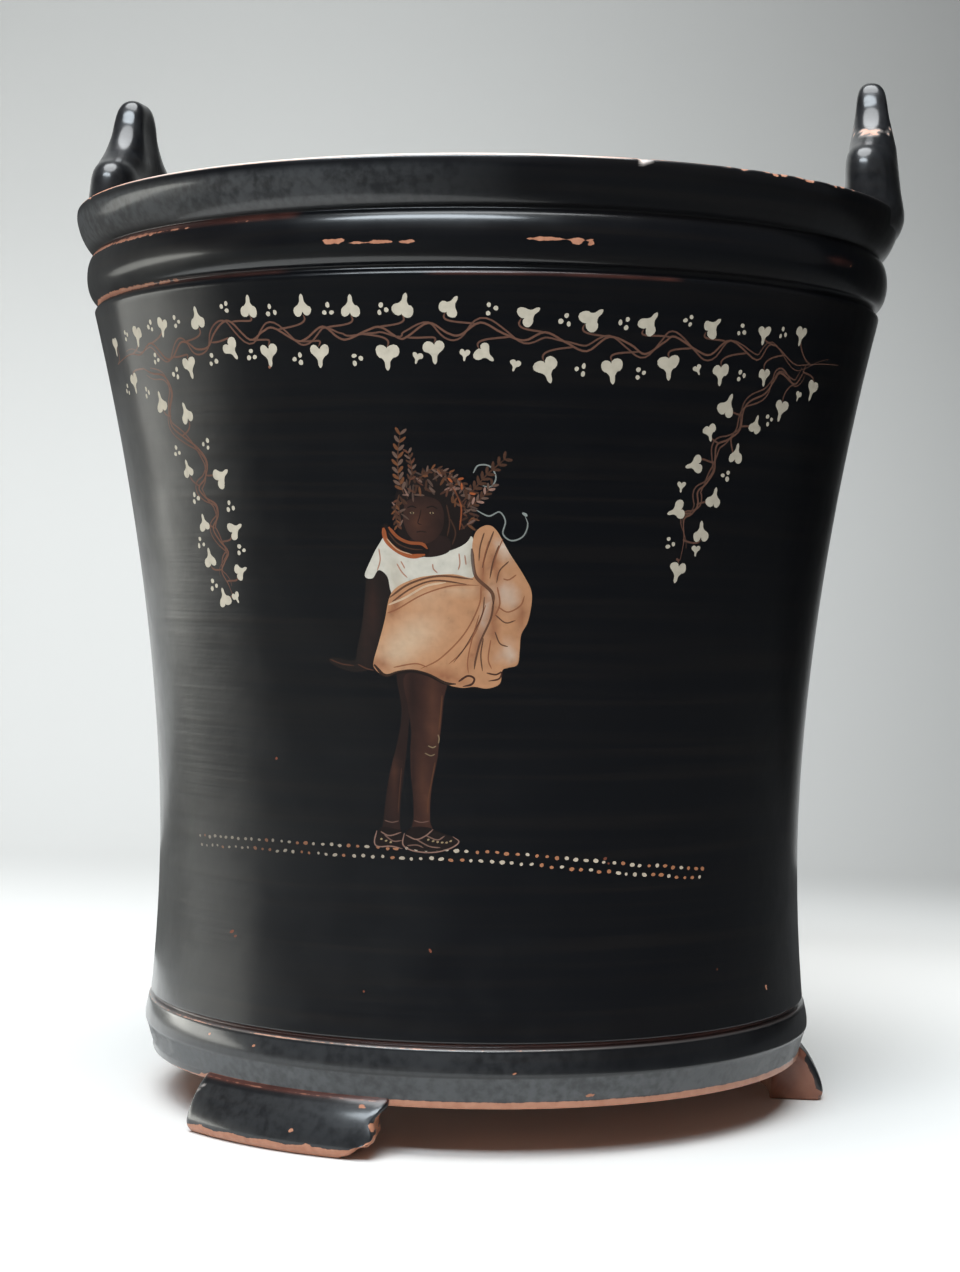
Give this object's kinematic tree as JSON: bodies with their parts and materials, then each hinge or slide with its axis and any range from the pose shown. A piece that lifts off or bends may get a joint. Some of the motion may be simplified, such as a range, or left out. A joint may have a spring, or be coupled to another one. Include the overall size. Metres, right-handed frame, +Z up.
{
  "type": "situla",
  "caption": "Bucket-shaped footed clay vessel with a flaring concave wall, moulded rim and upright lugs, black slip, and a painted ivy garland above a standing draped figure.",
  "frame": {"origin": "on the vessel's axis, at the level of the soles of its feet", "axes": "+Z up along the vessel's axis, -Y towards the middle of the painted side, lugs close to the X axis"},
  "size_m": [0.2256, 0.2256, 0.2781],
  "materials": {
    "black_slip": "glossy black slip on fired orange clay, worn to the clay along edges, with added white, cream, peach and brown paint"
  },
  "bodies": {
    "root": {"situla_vessel": "black_slip"}
  },
  "joints": []
}
